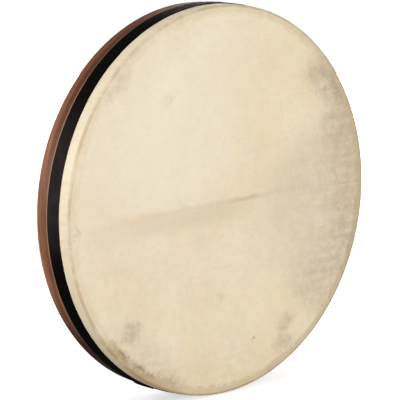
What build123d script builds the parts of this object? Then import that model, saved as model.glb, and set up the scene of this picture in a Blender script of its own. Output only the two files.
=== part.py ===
from build123d import *

import os
from math import asin, degrees, hypot

# A bodhran that stands upright: the drum's axis is Y, the skin faces -Y and the open back faces +Y.
# The origin is the centre of the whole drum. All sizes are in millimetres.

# Wooden hoop
SHELL_RADIUS = 228.6
SHELL_WALL = 7.6
DRUM_DEPTH = 59.0
EDGE_ROUND = 2.0
BACK_ROUND = 1.5

# Goatskin
SKIN_THICKNESS = 0.5
SKIN_UNDER_BAND = 16.5

# Black tape round the skin's cut edge
BAND_SETBACK = 17.5
BAND_WIDTH = 20.5
BAND_THICKNESS = 1.0
BAND_EDGE_ROUND = 0.3
BAND_LAP_ANGLE = 248.0
BAND_LAP_LENGTH = 14.0

# Tuning ring that bears on the skin from behind
RING_GAP = 0.5
RING_LIP = 1.5
RING_HEIGHT = 16.0
RING_PROUD = 1.0
RING_CREST_OUTER_ROUND = 1.5
RING_CREST_INNER_ROUND = 6.0
RING_BACK_ROUND = 1.0
RING_TRAVEL_BACK = 1.0
RING_BACK_CLEARANCE = 2.0

# Tuning bolts and the steel cups that they press on
BOLT_COUNT = 8
FIRST_BOLT_ANGLE = 22.5
BOLT_RADIUS = 3.0
BOLT_SHANK = 20.0
BOLT_TIP_CHAMFER = 0.6
BOLT_HEAD_RADIUS = 5.0
BOLT_HEAD_HEIGHT = 6.0
BOLT_HEAD_CHAMFER = 0.5
BOLT_SOCKET_FLATS = 5.0
BOLT_SOCKET_DEPTH = 3.0
BOLT_HEAD_GAP = 0.4
CUP_WALL = 1.7
CUP_CLEARANCE = 0.3
CUP_LET_IN = 1.5
CUP_PROUD = 1.0
CUP_RECESS = 1.2

# Steel angle brackets with welded nuts
BRACKET_GAUGE = 2.0
BRACKET_WIDTH = 28.0
BRACKET_LEG = 16.0
BRACKET_LIP = 4.0
BRACKET_CORNER_ROUND = 4.0
BRACKET_BEND_ROUND = 0.8
BRACKET_HOLE_CLEARANCE = 0.25
BRACKET_SCREW_SPACING = 18.0
BRACKET_SCREW_SETBACK = 11.0
NUT_FLATS = 10.0
NUT_HEIGHT = 5.0
NUT_CORNER_RADIUS = 5.65
NUT_RUNNING_FIT = 0.05

# Wood screws
SCREW_RADIUS = 1.5
SCREW_HEAD_RADIUS = 2.9
SCREW_BITE = 5.0
SCREW_CROSS_WIDTH = 0.8
SCREW_CROSS_DEPTH = 1.0
SCREW_CROSS_REACH = 3.5
PAN_HEAD_HEIGHT = 2.0
PAN_HEAD_ROUND = 0.8

# Crossbar and the cleats that its ends lie on
BAR_THICKNESS = 10.0
BAR_END_WIDTH = 40.0
BAR_WAIST_WIDTH = 24.0
BAR_WAIST_LENGTH = 330.0
BAR_EDGE_ROUND = 3.0
BAR_BACK_INSET = 7.5
BAR_END_GAP = 0.5
CLEAT_WIDTH = 52.0
CLEAT_HEIGHT = 12.0
CLEAT_DEPTH = 14.0
CLEAT_EDGE_ROUND = 1.5
BAR_SCREW_SPACING = 18.0
BAR_SCREW_BITE = 8.0
CLEAT_SCREW_SPACING = 38.0

# Places that follow from the sizes above. Y grows from the skin towards the open back.
SKIN_FRONT = -DRUM_DEPTH / 2
BACK_RIM = DRUM_DEPTH / 2
CREST = SKIN_FRONT + SKIN_THICKNESS
SHELL_FRONT = CREST + RING_PROUD
SHELL_INNER = SHELL_RADIUS - SHELL_WALL
SKIN_RADIUS = SHELL_RADIUS + SKIN_THICKNESS
BAND_FRONT = SKIN_FRONT + BAND_SETBACK
BAND_BACK = BAND_FRONT + BAND_WIDTH
BAND_RADIUS = SKIN_RADIUS + BAND_THICKNESS
SKIRT_END = BAND_FRONT + SKIN_UNDER_BAND
RING_OUTER = SHELL_INNER - RING_GAP
RING_BACK = CREST + RING_HEIGHT
LEG_FACE = SHELL_INNER - BRACKET_GAUGE
BOLT_CIRCLE = LEG_FACE - BRACKET_BEND_ROUND - BOLT_HEAD_GAP - max(BOLT_HEAD_RADIUS, NUT_FLATS / 2)
CUP_BORE = BOLT_RADIUS + CUP_CLEARANCE
CUP_RADIUS = CUP_BORE + CUP_WALL
RING_INNER = BOLT_CIRCLE - CUP_RADIUS - RING_LIP
CUP_FACE = RING_BACK + CUP_PROUD
BOLT_TIP = CUP_FACE - CUP_RECESS
BOLT_HEAD_FACE = BOLT_TIP + BOLT_SHANK
FLANGE_FRONT = CUP_FACE + RING_TRAVEL_BACK + RING_BACK_CLEARANCE
FLANGE_BACK = FLANGE_FRONT + BRACKET_GAUGE
FLANGE_TIP = BOLT_CIRCLE - BOLT_HEAD_RADIUS - BRACKET_LIP
BRACKET_SCREW_Y = FLANGE_FRONT + BRACKET_SCREW_SETBACK
BAR_BACK = BACK_RIM - BAR_BACK_INSET
BAR_FRONT = BAR_BACK - BAR_THICKNESS
CLEAT_FRONT = BAR_FRONT - CLEAT_HEIGHT
CLEAT_FACE = SHELL_INNER - CLEAT_DEPTH
CLEAT_MIDDLE = SHELL_INNER - CLEAT_DEPTH / 2
CLEAT_SCREW_Y = (CLEAT_FRONT + BAR_FRONT) / 2
CLEAT_SCREW_SEAT = hypot(CLEAT_FACE, CLEAT_SCREW_SPACING / 2)
CLEAT_SCREW_SWING = degrees(asin(CLEAT_SCREW_SPACING / 2 / CLEAT_SCREW_SEAT))
BRACKET_SCREW_SWING = degrees(asin(BRACKET_SCREW_SPACING / 2 / LEG_FACE))
NUT_BACK = FLANGE_BACK + NUT_HEIGHT
SIDES = (-1, 1)
BOLT_ANGLES = [FIRST_BOLT_ANGLE + 360 / BOLT_COUNT * i for i in range(BOLT_COUNT)]
CLEAT_ANGLES = {"cleat_top": 90.0, "cleat_bottom": 270.0}


def at_angle(angle):
    """The turn about the drum's axis that takes a piece made at +X round to an angle in the XZ plane."""
    return Rot(0, -angle, 0)


def disc(radius, low, high):
    """A round plate on the drum's axis from one Y to another."""
    blank = Cylinder(radius, high - low, align=(Align.CENTER, Align.CENTER, Align.MIN))
    return Pos(0, low, 0) * Rot(-90, 0, 0) * blank


def rod_along_y(radius, low, high, out=BOLT_CIRCLE):
    """A round rod parallel to the drum's axis, at a distance out along +X."""
    return Pos(out, 0, 0) * disc(radius, low, high)


def rod_along_x(radius, inner, outer, y):
    """A round rod that points outward along +X at a depth y."""
    blank = Cylinder(radius, outer - inner, align=(Align.CENTER, Align.CENTER, Align.MIN))
    return Pos(inner, y, 0) * Rot(0, 90, 0) * blank


def block(inner, outer, low, high, width):
    """A box that spans two distances along +X, two depths and a width across."""
    middle = ((inner + outer) / 2, (low + high) / 2, 0)
    return Pos(*middle) * Box(outer - inner, high - low, width)


def hex_rod(flats, low, high):
    """A hexagonal rod along the drum's axis on the bolt circle, with two flats facing in and out."""
    outline = RegularPolygon(flats / 2, 6, major_radius=False)
    return Pos(BOLT_CIRCLE, low, 0) * Rot(-90, 0, 0) * extrude(outline, high - low)


def box_outline(inner, outer, low, high):
    """A rectangle drawn as radius and depth."""
    corners = [(inner, low), (outer, low), (outer, high), (inner, high)]
    return Polyline(*corners, close=True)


def turned_ring(inner, outer, low, high, rounds):
    """A ring of rectangular section. rounds maps (radius, depth) corners to their rounding."""
    section = make_face(box_outline(inner, outer, low, high))
    for (radius, depth), size in rounds.items():
        corner = section.vertices().sort_by_distance((radius, depth, 0))[0]
        section = fillet(corner, size)
    return revolve(section, Axis.Y, 360.0)


def bracket_screw_places():
    """The angle of each bracket screw: two beside each bolt."""
    return [angle + side * BRACKET_SCREW_SWING for angle in BOLT_ANGLES for side in SIDES]


def cleat_screw_places():
    """The angle of each cleat screw: two in each cleat, outside the crossbar's own screws."""
    return [angle + side * CLEAT_SCREW_SWING for angle in CLEAT_ANGLES.values() for side in SIDES]


def countersunk_screw(seat, y):
    """A countersunk wood screw that points outward, its head flush with the seat."""
    head_height = SCREW_HEAD_RADIUS - SCREW_RADIUS
    cone = Cone(SCREW_HEAD_RADIUS, SCREW_RADIUS, head_height, align=(Align.CENTER, Align.CENTER, Align.MIN))
    head = Pos(seat, y, 0) * Rot(0, 90, 0) * cone
    shank = rod_along_x(SCREW_RADIUS, seat + head_height, SHELL_INNER + SCREW_BITE, y)
    return head + shank


def cross_slots(seat, y):
    """The two slots of a cross-head, cut into a screw that points outward."""
    slot = Box(2 * SCREW_CROSS_DEPTH, SCREW_CROSS_REACH, SCREW_CROSS_WIDTH)
    return Pos(seat, y, 0) * (slot + Rot(90, 0, 0) * slot)


def make_shell():
    """The bent hoop, with the blind holes that its wood screws bite into."""
    rounds = {
        (SHELL_RADIUS, SHELL_FRONT): EDGE_ROUND,
        (SHELL_RADIUS, BACK_RIM): BACK_ROUND,
        (SHELL_INNER, BACK_RIM): BACK_ROUND,
    }
    shell = turned_ring(SHELL_INNER, SHELL_RADIUS, SHELL_FRONT, BACK_RIM, rounds)
    hole_start = SHELL_INNER - SHELL_WALL / 2
    hole_end = SHELL_INNER + SCREW_BITE
    bracket_hole = rod_along_x(SCREW_RADIUS, hole_start, hole_end, BRACKET_SCREW_Y)
    cleat_hole = rod_along_x(SCREW_RADIUS, hole_start, hole_end, CLEAT_SCREW_Y)
    holes = [at_angle(angle) * bracket_hole for angle in bracket_screw_places()]
    holes += [at_angle(angle) * cleat_hole for angle in cleat_screw_places()]
    return shell - holes


def make_skin():
    """The skin: flat over the ring's crest, sloping to the shell's edge, round it and down the side."""
    crest_end = RING_OUTER - RING_CREST_OUTER_ROUND / 2
    edge_start = SHELL_RADIUS - EDGE_ROUND
    turn_middle = (edge_start, SHELL_FRONT + EDGE_ROUND)
    outer_turn = CenterArc(turn_middle, EDGE_ROUND + SKIN_THICKNESS, -90, 90)
    inner_turn = CenterArc(turn_middle, EDGE_ROUND, 0, -90)
    face_line = Polyline((0, SKIN_FRONT), (crest_end, SKIN_FRONT), outer_turn @ 0)
    side_line = Polyline(outer_turn @ 1, (SKIN_RADIUS, SKIRT_END), (SHELL_RADIUS, SKIRT_END), inner_turn @ 0)
    under_line = Polyline(inner_turn @ 1, (crest_end, CREST), (0, CREST), (0, SKIN_FRONT))
    section = make_face([face_line, outer_turn, side_line, inner_turn, under_line])
    return revolve(section, Axis.Y, 360.0)


def make_band():
    """The tape: over the skin at its front, on the bare wood at its back, its ends lapped."""
    on_skin = [(SKIN_RADIUS, BAND_FRONT), (SKIN_RADIUS, SKIRT_END)]
    on_wood = [(SHELL_RADIUS, SKIRT_END), (SHELL_RADIUS, BAND_BACK)]
    outside = [(BAND_RADIUS, BAND_BACK), (BAND_RADIUS, BAND_FRONT)]
    section = make_face(Polyline(*on_skin, *on_wood, *outside, close=True))
    outer_corners = section.vertices().sort_by(Axis.X)[-2:]
    tape = revolve(fillet(outer_corners, BAND_EDGE_ROUND), Axis.Y, 360.0)
    tape_middle = (SKIN_RADIUS + BAND_RADIUS) / 2
    lap_section = make_face(box_outline(tape_middle, BAND_RADIUS + BAND_THICKNESS, BAND_FRONT, BAND_BACK))
    lap_corners = lap_section.vertices().sort_by(Axis.X)[-2:]
    lap_turn = degrees(BAND_LAP_LENGTH / BAND_RADIUS)
    lap = revolve(fillet(lap_corners, BAND_EDGE_ROUND), Axis.Y, lap_turn)
    return tape + at_angle(BAND_LAP_ANGLE + lap_turn / 2) * lap


def make_tuning_ring():
    """The ring that bears on the skin, with a seat in its back for each steel cup."""
    rounds = {
        (RING_OUTER, CREST): RING_CREST_OUTER_ROUND,
        (RING_INNER, CREST): RING_CREST_INNER_ROUND,
        (RING_OUTER, RING_BACK): RING_BACK_ROUND,
        (RING_INNER, RING_BACK): RING_BACK_ROUND,
    }
    ring = turned_ring(RING_INNER, RING_OUTER, CREST, RING_BACK, rounds)
    seat = rod_along_y(CUP_RADIUS, RING_BACK - CUP_LET_IN, CUP_FACE)
    return ring - [at_angle(angle) * seat for angle in BOLT_ANGLES]


def make_wear_cup():
    """The steel cup that keeps a bolt's tip in place and spreads its load."""
    cup = rod_along_y(CUP_RADIUS, RING_BACK - CUP_LET_IN, CUP_FACE)
    return cup - rod_along_y(CUP_BORE, BOLT_TIP, CUP_FACE)


def make_bolt():
    """A socket-head bolt, its tip in the cup and its head towards the open back."""
    shank = rod_along_y(BOLT_RADIUS, BOLT_TIP, BOLT_HEAD_FACE)
    shank = chamfer(shank.edges().sort_by(Axis.Y)[0], BOLT_TIP_CHAMFER)
    head_back = BOLT_HEAD_FACE + BOLT_HEAD_HEIGHT
    head = rod_along_y(BOLT_HEAD_RADIUS, BOLT_HEAD_FACE, head_back)
    head = chamfer(head.edges().sort_by(Axis.Y)[-1], BOLT_HEAD_CHAMFER)
    return shank + head - hex_rod(BOLT_SOCKET_FLATS, head_back - BOLT_SOCKET_DEPTH, head_back)


def make_bracket():
    """The bent steel bracket: a leg on the shell's wall and a flange that holds the nut."""
    leg_end = FLANGE_FRONT + BRACKET_LEG
    leg = disc(SHELL_INNER, FLANGE_FRONT, leg_end) - disc(LEG_FACE, FLANGE_BACK, leg_end)
    angle_piece = leg & block(FLANGE_TIP, SHELL_RADIUS, FLANGE_FRONT, leg_end, BRACKET_WIDTH)
    bend = angle_piece.edges().filter_by(GeomType.CIRCLE).sort_by_distance((LEG_FACE, FLANGE_BACK, 0))[0]
    angle_piece = fillet(bend, BRACKET_BEND_ROUND)
    flange_corners = angle_piece.edges().filter_by(Axis.Y).sort_by(Axis.X)[:2]
    angle_piece = fillet(flange_corners, BRACKET_CORNER_ROUND)
    bolt_hole = rod_along_y(BOLT_RADIUS + BRACKET_HOLE_CLEARANCE, FLANGE_FRONT, FLANGE_BACK)
    angle_piece = angle_piece - bolt_hole
    throat = rod_along_x(SCREW_HEAD_RADIUS, LEG_FACE - BRACKET_GAUGE, LEG_FACE, BRACKET_SCREW_Y)
    screw_hole = countersunk_screw(LEG_FACE, BRACKET_SCREW_Y) + throat
    return angle_piece - [at_angle(side * BRACKET_SCREW_SWING) * screw_hole for side in SIDES]


def make_nut():
    """The nut welded to the back of a bracket's flange."""
    nut = hex_rod(NUT_FLATS, FLANGE_BACK, NUT_BACK) & rod_along_y(NUT_CORNER_RADIUS, FLANGE_BACK, NUT_BACK)
    return nut - rod_along_y(BOLT_RADIUS + NUT_RUNNING_FIT, FLANGE_BACK, NUT_BACK)


def make_bracket_screw():
    """A short countersunk screw through a bracket into the shell."""
    screw = countersunk_screw(LEG_FACE, BRACKET_SCREW_Y)
    return screw - cross_slots(LEG_FACE, BRACKET_SCREW_Y)


def make_cleat():
    """The block glued and screwed to the shell's wall under one end of the crossbar, made at +X."""
    blank = block(CLEAT_FACE, SHELL_RADIUS, CLEAT_FRONT, BAR_FRONT, CLEAT_WIDTH)
    blank = blank & disc(SHELL_INNER, CLEAT_FRONT, BAR_FRONT)
    front_edges = blank.faces().sort_by(Axis.X)[0].edges().filter_by(Axis.Z)
    blank = fillet(front_edges, CLEAT_EDGE_ROUND)
    throat = rod_along_x(SCREW_HEAD_RADIUS, CLEAT_FACE - CLEAT_DEPTH, CLEAT_SCREW_SEAT, CLEAT_SCREW_Y)
    screw_hole = countersunk_screw(CLEAT_SCREW_SEAT, CLEAT_SCREW_Y) + throat
    blank = blank - [at_angle(side * CLEAT_SCREW_SWING) * screw_hole for side in SIDES]
    pilot = rod_along_y(SCREW_RADIUS, BAR_FRONT - BAR_SCREW_BITE, BAR_FRONT, CLEAT_MIDDLE)
    return blank - [Pos(0, 0, side * BAR_SCREW_SPACING / 2) * pilot for side in SIDES]


def make_cleat_screw():
    """A countersunk screw through a cleat into the shell."""
    screw = countersunk_screw(CLEAT_SCREW_SEAT, CLEAT_SCREW_Y)
    return screw - cross_slots(CLEAT_SCREW_SEAT, CLEAT_SCREW_Y)


def make_bar_screw():
    """A pan-head screw through the crossbar into a cleat, made at +X."""
    shank = rod_along_y(SCREW_RADIUS, BAR_FRONT - BAR_SCREW_BITE, BAR_BACK, CLEAT_MIDDLE)
    head = rod_along_y(SCREW_HEAD_RADIUS, BAR_BACK, BAR_BACK + PAN_HEAD_HEIGHT, CLEAT_MIDDLE)
    head = fillet(head.edges().sort_by(Axis.Y)[-1], PAN_HEAD_ROUND)
    slot = Box(SCREW_CROSS_REACH, 2 * SCREW_CROSS_DEPTH, SCREW_CROSS_WIDTH)
    slots = Pos(CLEAT_MIDDLE, BAR_BACK + PAN_HEAD_HEIGHT, 0) * (slot + Rot(0, 90, 0) * slot)
    return shank + head - slots


def bar_screw_places():
    """The pose of each crossbar screw: two at each end."""
    offsets = [Pos(0, 0, side * BAR_SCREW_SPACING / 2) for side in SIDES]
    return [at_angle(angle) * offset for angle in CLEAT_ANGLES.values() for offset in offsets]


def make_crossbar():
    """The waisted bar across the open back, its ends curved to the shell's wall."""
    reach = SHELL_INNER - BAR_END_GAP
    blank = Pos(0, (BAR_FRONT + BAR_BACK) / 2, 0) * Box(BAR_END_WIDTH, BAR_THICKNESS, 2 * reach)
    blank = blank & disc(reach, BAR_FRONT, BAR_BACK)
    bite = (BAR_END_WIDTH - BAR_WAIST_WIDTH) / 2
    scoop = (BAR_WAIST_LENGTH**2 / 4 + bite**2) / (2 * bite)
    for side in SIDES:
        blank = blank - Pos(side * (BAR_WAIST_WIDTH / 2 + scoop), 0, 0) * disc(scoop, BAR_FRONT, BAR_BACK)
    blank = fillet(blank.edges().filter_by(runs_along_bar), BAR_EDGE_ROUND)
    hole = rod_along_y(SCREW_RADIUS, BAR_FRONT, BAR_BACK, CLEAT_MIDDLE)
    return blank - [place * hole for place in bar_screw_places()]


def runs_along_bar(edge):
    """True for the edges along the crossbar's two sides, front and back."""
    start, end = edge @ 0, edge @ 1
    return abs(start.Z - end.Z) > BAR_THICKNESS


def main():
    """Writes every sub-part as its own STEP file."""
    nodes = {
        "shell": make_shell(),
        "drum_skin": make_skin(),
        "trim_band": make_band(),
        "tuning_ring": make_tuning_ring(),
        "crossbar": make_crossbar(),
    }
    cup, bolt, bracket, nut = make_wear_cup(), make_bolt(), make_bracket(), make_nut()
    for number, angle in enumerate(BOLT_ANGLES, start=1):
        nodes[f"wear_cup_{number}"] = at_angle(angle) * cup
        nodes[f"tuning_bolt_{number}"] = at_angle(angle) * bolt
        nodes[f"tuning_bracket_{number}"] = at_angle(angle) * bracket
    cleat = make_cleat()
    for name, angle in CLEAT_ANGLES.items():
        nodes[name] = at_angle(angle) * cleat
    bracket_screw, cleat_screw, bar_screw = make_bracket_screw(), make_cleat_screw(), make_bar_screw()
    nodes["bracket_nuts"] = Compound([at_angle(angle) * nut for angle in BOLT_ANGLES])
    nodes["bracket_screws"] = Compound([at_angle(angle) * bracket_screw for angle in bracket_screw_places()])
    nodes["cleat_screws"] = Compound([at_angle(angle) * cleat_screw for angle in cleat_screw_places()])
    nodes["crossbar_screws"] = Compound([place * bar_screw for place in bar_screw_places()])
    os.makedirs("parts", exist_ok=True)
    for name, piece in nodes.items():
        export_step(piece, f"parts/{name}.step")


main()
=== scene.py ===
"""A bodhran with a goatskin head, tuned from inside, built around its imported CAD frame."""

import logging
import math
from dataclasses import dataclass
from enum import Enum
from typing import Any, Dict, List, Optional, Sequence, Tuple, Union

import bpy
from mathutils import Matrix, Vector


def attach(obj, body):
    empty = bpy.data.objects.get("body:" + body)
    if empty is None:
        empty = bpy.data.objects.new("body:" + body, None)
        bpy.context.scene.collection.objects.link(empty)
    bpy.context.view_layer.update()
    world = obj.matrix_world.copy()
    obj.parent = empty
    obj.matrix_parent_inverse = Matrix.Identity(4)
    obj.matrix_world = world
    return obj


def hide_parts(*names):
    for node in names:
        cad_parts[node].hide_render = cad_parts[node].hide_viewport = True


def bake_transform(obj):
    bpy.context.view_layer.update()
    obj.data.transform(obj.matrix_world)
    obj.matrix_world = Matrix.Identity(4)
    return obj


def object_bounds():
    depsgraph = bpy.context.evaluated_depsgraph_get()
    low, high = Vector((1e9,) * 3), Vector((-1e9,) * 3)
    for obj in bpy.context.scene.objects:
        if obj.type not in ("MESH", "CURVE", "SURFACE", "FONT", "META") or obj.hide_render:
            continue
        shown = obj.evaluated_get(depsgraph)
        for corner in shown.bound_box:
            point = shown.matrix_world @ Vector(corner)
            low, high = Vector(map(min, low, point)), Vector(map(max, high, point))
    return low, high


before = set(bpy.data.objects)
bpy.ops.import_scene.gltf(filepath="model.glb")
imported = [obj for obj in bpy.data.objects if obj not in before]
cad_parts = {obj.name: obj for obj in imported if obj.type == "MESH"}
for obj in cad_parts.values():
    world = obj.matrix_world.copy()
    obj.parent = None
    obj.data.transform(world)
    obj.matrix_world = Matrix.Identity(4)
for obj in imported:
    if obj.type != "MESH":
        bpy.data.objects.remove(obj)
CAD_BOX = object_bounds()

LOG = logging.getLogger("bodhran")
MM = 0.001  # metres
MM_IN_METRE = 1000
TURN_STEPS = 288  # straight runs in a full turn
MERGE_GAP = 0.00001  # metres
SMOOTH_ANGLE = math.radians(32)
BOLT_COUNT = 8
PLY_COUNT = 5
FIRST_BOLT_ANGLE = 22.5

Point = Tuple[float, float]
Colour = Tuple[float, float, float, float]


class Slot(str, Enum):
    """The record's material slots."""

    HOOP = "stained_hoop"
    SKIN = "goatskin"
    TAPE = "black_tape"
    RING = "beech_ring"
    BAR = "stained_crossbar"
    ZINC = "zinc_steel"
    BOLT = "black_bolt_steel"


class Grain(Enum):
    """Which way a piece of wood's grain runs."""

    ROUND_THE_HOOP = "round"
    ALONG_THE_BAR = "along"
    ACROSS = "across"


def colour(red: int, green: int, blue: int) -> Colour:
    """Turns a display colour into the linear colour that shaders use.

    Args:
        red: Red, 0 to 255.
        green: Green, 0 to 255.
        blue: Blue, 0 to 255.

    Returns:
        The linear colour with full alpha.
    """

    def linear(part: int) -> float:
        """One channel, display to linear."""
        share = part / 255
        return share / 12.92 if share <= 0.04045 else ((share + 0.055) / 1.055) ** 2.4

    return (linear(red), linear(green), linear(blue), 1.0)


# ---------------------------------------------------------------- shaders


class Value:
    """A shader socket that adds Math nodes when it is used in an expression."""

    def __init__(self, shader: "Shader", socket: bpy.types.NodeSocket) -> None:
        """Keeps the socket and the shader that it belongs to."""
        self.shader = shader
        self.socket = socket

    def math(self, operation: str, *operands: Union["Value", float]) -> "Value":
        """Adds one Math node.

        Args:
            operation: The Math node's operation.
            operands: Its inputs in order.

        Returns:
            The node's result.
        """
        node = self.shader.node("ShaderNodeMath", {"operation": operation}, dict(enumerate(operands)))
        return Value(self.shader, node.outputs[0])

    def __add__(self, other: Union["Value", float]) -> "Value":
        """This value plus another."""
        return self.math("ADD", self, other)

    def __radd__(self, other: float) -> "Value":
        """A number plus this value."""
        return self.math("ADD", other, self)

    def __sub__(self, other: Union["Value", float]) -> "Value":
        """This value minus another."""
        return self.math("SUBTRACT", self, other)

    def __rsub__(self, other: float) -> "Value":
        """A number minus this value."""
        return self.math("SUBTRACT", other, self)

    def __mul__(self, other: Union["Value", float]) -> "Value":
        """This value times another."""
        return self.math("MULTIPLY", self, other)

    def __rmul__(self, other: float) -> "Value":
        """A number times this value."""
        return self.math("MULTIPLY", other, self)

    def __truediv__(self, other: Union["Value", float]) -> "Value":
        """This value over another."""
        return self.math("DIVIDE", self, other)

    def root(self) -> "Value":
        """This value's square root."""
        return self.math("SQRT", self)

    def size(self) -> "Value":
        """This value without its sign."""
        return self.math("ABSOLUTE", self)

    def sine(self) -> "Value":
        """The sine of this value in radians."""
        return self.math("SINE", self)

    def larger(self, other: Union["Value", float]) -> "Value":
        """The larger of this value and another."""
        return self.math("MAXIMUM", self, other)

    def fraction(self) -> "Value":
        """The part of this value after its whole number."""
        return self.math("FRACT", self)

    def angle(self, across: "Value") -> "Value":
        """The angle in radians whose rise is this value and whose run is the other."""
        return self.math("ARCTAN2", self, across)

    def rise(self, low: float, high: float) -> "Value":
        """A smooth step.

        Args:
            low: Where the step starts, with the result 0.
            high: Where it ends, with the result 1. It may be the lower number, for a step down.

        Returns:
            The step's height, 0 to 1.
        """
        settings = {"interpolation_type": "SMOOTHSTEP"}
        values = {"Value": self, "From Min": low, "From Max": high}
        node = self.shader.node("ShaderNodeMapRange", settings, values)
        return Value(self.shader, node.outputs["Result"])


class Shader:
    """The node tree of one finish."""

    def __init__(self, name: str) -> None:
        """Makes the material and finds its shader node."""
        self.material = bpy.data.materials.new(name)
        self.material.use_nodes = True
        self.tree = self.material.node_tree
        self.surface = self.tree.nodes["Principled BSDF"]

    def node(self, kind: str, settings: Dict[str, Any], values: Dict[Any, Any]) -> bpy.types.Node:
        """Adds one node.

        Args:
            kind: The node's type.
            settings: Its own settings, which are set first.
            values: Numbers, vectors, colours or other sockets for its inputs, by name or number.

        Returns:
            The node.
        """
        node = self.tree.nodes.new(kind)
        for name, setting in settings.items():
            setattr(node, name, setting)
        for name, value in values.items():
            if isinstance(value, Value):
                self.tree.links.new(value.socket, node.inputs[name])
            else:
                node.inputs[name].default_value = value
        return node

    def place(self) -> Value:
        """Where a point is on the drum, in metres."""
        return Value(self, self.node("ShaderNodeTexCoord", {}, {}).outputs["Object"])

    def split(self, vector: Value) -> Tuple[Value, Value, Value]:
        """The three parts of a vector."""
        node = self.node("ShaderNodeSeparateXYZ", {}, {0: vector})
        return tuple(Value(self, output) for output in node.outputs)

    def join(self, x: Union[Value, float], y: Union[Value, float], z: Union[Value, float]) -> Value:
        """A vector from three parts."""
        return Value(self, self.node("ShaderNodeCombineXYZ", {}, {0: x, 1: y, 2: z}).outputs[0])

    def stretch(self, at: Value, scales: Tuple[float, float, float]) -> Value:
        """A vector with each part scaled by its own number."""
        settings = {"operation": "MULTIPLY"}
        return Value(self, self.node("ShaderNodeVectorMath", settings, {0: at, 1: scales}).outputs[0])

    def noise(self, at: Value, scale: float, detail: float, rough: float, warp: float = 0.0) -> Value:
        """Cloudy noise.

        Args:
            at: Where it is read.
            scale: Clouds per metre.
            detail: How many finer layers lie on it.
            rough: How strong those are.
            warp: How far it is twisted by itself.

        Returns:
            The noise, 0 to 1.
        """
        values = {"Vector": at, "Scale": scale, "Detail": detail, "Roughness": rough, "Distortion": warp}
        return Value(self, self.node("ShaderNodeTexNoise", {}, values).outputs["Fac"])

    def cells(self, at: Value, scale: float) -> Value:
        """How far a point is from the nearest of many scattered seeds, in seed spacings."""
        node = self.node("ShaderNodeTexVoronoi", {}, {"Vector": at, "Scale": scale})
        return Value(self, node.outputs["Distance"])

    def mix(self, share: Union[Value, float], under: Any, over: Any) -> Value:
        """Lays one colour over another.

        Args:
            share: How much of the upper colour shows, 0 to 1.
            under: The lower colour.
            over: The upper colour.

        Returns:
            The mixed colour.
        """
        node = self.node("ShaderNodeMix", {"data_type": "RGBA"}, {0: share, 6: under, 7: over})
        return Value(self, node.outputs[2])

    def bump(self, height: Value, depth: float, under: Optional[Value] = None) -> Value:
        """Surface relief.

        Args:
            height: Height, 0 to 1.
            depth: The relief's real depth in metres.
            under: Coarser relief that it lies on.

        Returns:
            The normal.
        """
        values = {"Height": height, "Distance": depth, "Strength": 1.0}
        if under is not None:
            values["Normal"] = under
        return Value(self, self.node("ShaderNodeBump", {}, values).outputs[0])

    def finish(self, **sockets: Any) -> bpy.types.Material:
        """Feeds the shader node.

        Args:
            sockets: Values or numbers by socket name, with spaces written as underscores.

        Returns:
            The finished material.
        """
        for name, value in sockets.items():
            socket = self.surface.inputs[name.replace("_", " ").title().replace("Ior", "IOR")]
            if isinstance(value, Value):
                self.tree.links.new(value.socket, socket)
            else:
                socket.default_value = value
        return self.material


@dataclass(frozen=True)
class Mark:
    """One mark on the skin, most of them stains and two of them painted light: its middle and half sizes in mm,
    its turn, how soft and strong it is.
    """

    x: float
    z: float
    long: float
    short: float
    turn: float
    soft: float
    share: float
    tint: Colour


GREY = colour(186, 168, 142)
TAN = colour(204, 178, 136)
BROWN = colour(122, 90, 54)
ROSE = colour(232, 196, 160)
# A pale wash of painted light, laid over the face's upper left, on the side the light comes from.
PAINTED_LIGHT = colour(249, 239, 219)
STRAW = colour(236, 214, 168)
BISCUIT = colour(236, 216, 178)

MARKS = (
    # The first two marks are painted light over the upper left; the rest are stains.
    Mark(-80, 110, 120, 90, 30, 0.9, 0.55, PAINTED_LIGHT),
    Mark(-150, 60, 60, 50, 0, 0.9, 0.20, PAINTED_LIGHT),
    Mark(58, 111, 70, 55, 20, 0.9, 0.35, STRAW),
    Mark(30, -150, 110, 60, 0, 0.9, 0.30, BISCUIT),
    Mark(20, -215, 150, 45, 0, 0.8, 0.30, TAN),
    Mark(205, -60, 22, 70, 0, 0.9, 0.48, GREY),
    Mark(200, 60, 40, 120, 14, 0.9, 0.28, TAN),
    Mark(178, 118, 9, 26, 38, 0.7, 0.45, BROWN),
    Mark(208, -78, 5, 26, -14, 0.7, 0.40, BROWN),
    Mark(156, 137, 26, 20, -40, 0.7, 0.60, GREY),
    Mark(186, 100, 22, 55, 10, 0.8, 0.50, GREY),
    Mark(196, 20, 30, 80, 0, 0.9, 0.35, GREY),
    Mark(164, -106, 46, 34, 30, 0.8, 0.42, GREY),
    Mark(100, -156, 14, 11, 0, 0.6, 0.55, GREY),
    Mark(98, -183, 16, 12, 0, 0.6, 0.60, GREY),
    Mark(-139, -133, 14, 11, 20, 0.6, 0.62, GREY),
    Mark(-128, -165, 46, 20, -40, 0.9, 0.38, GREY),
    Mark(-156, -161, 22, 6.5, -46, 0.8, 0.88, BROWN),
    Mark(-126, -186, 26, 7, -35, 0.8, 0.92, BROWN),
    Mark(-95, -203, 26, 6, -26, 0.8, 0.82, BROWN),
    Mark(-84, -202, 26, 9, -24, 0.7, 0.62, GREY),
    Mark(-160, 150, 24, 10, 44, 0.7, 0.35, GREY),
    Mark(-87, 124, 7, 6, 0, 0.6, 0.25, GREY),
    Mark(-5, -111, 7, 5, 0, 0.6, 0.30, GREY),
    Mark(50, -172, 2.2, 2.0, 0, 0.4, 0.60, BROWN),
    Mark(-219, -14, 3, 10, 0, 0.9, 0.22, BROWN),
)


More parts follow.
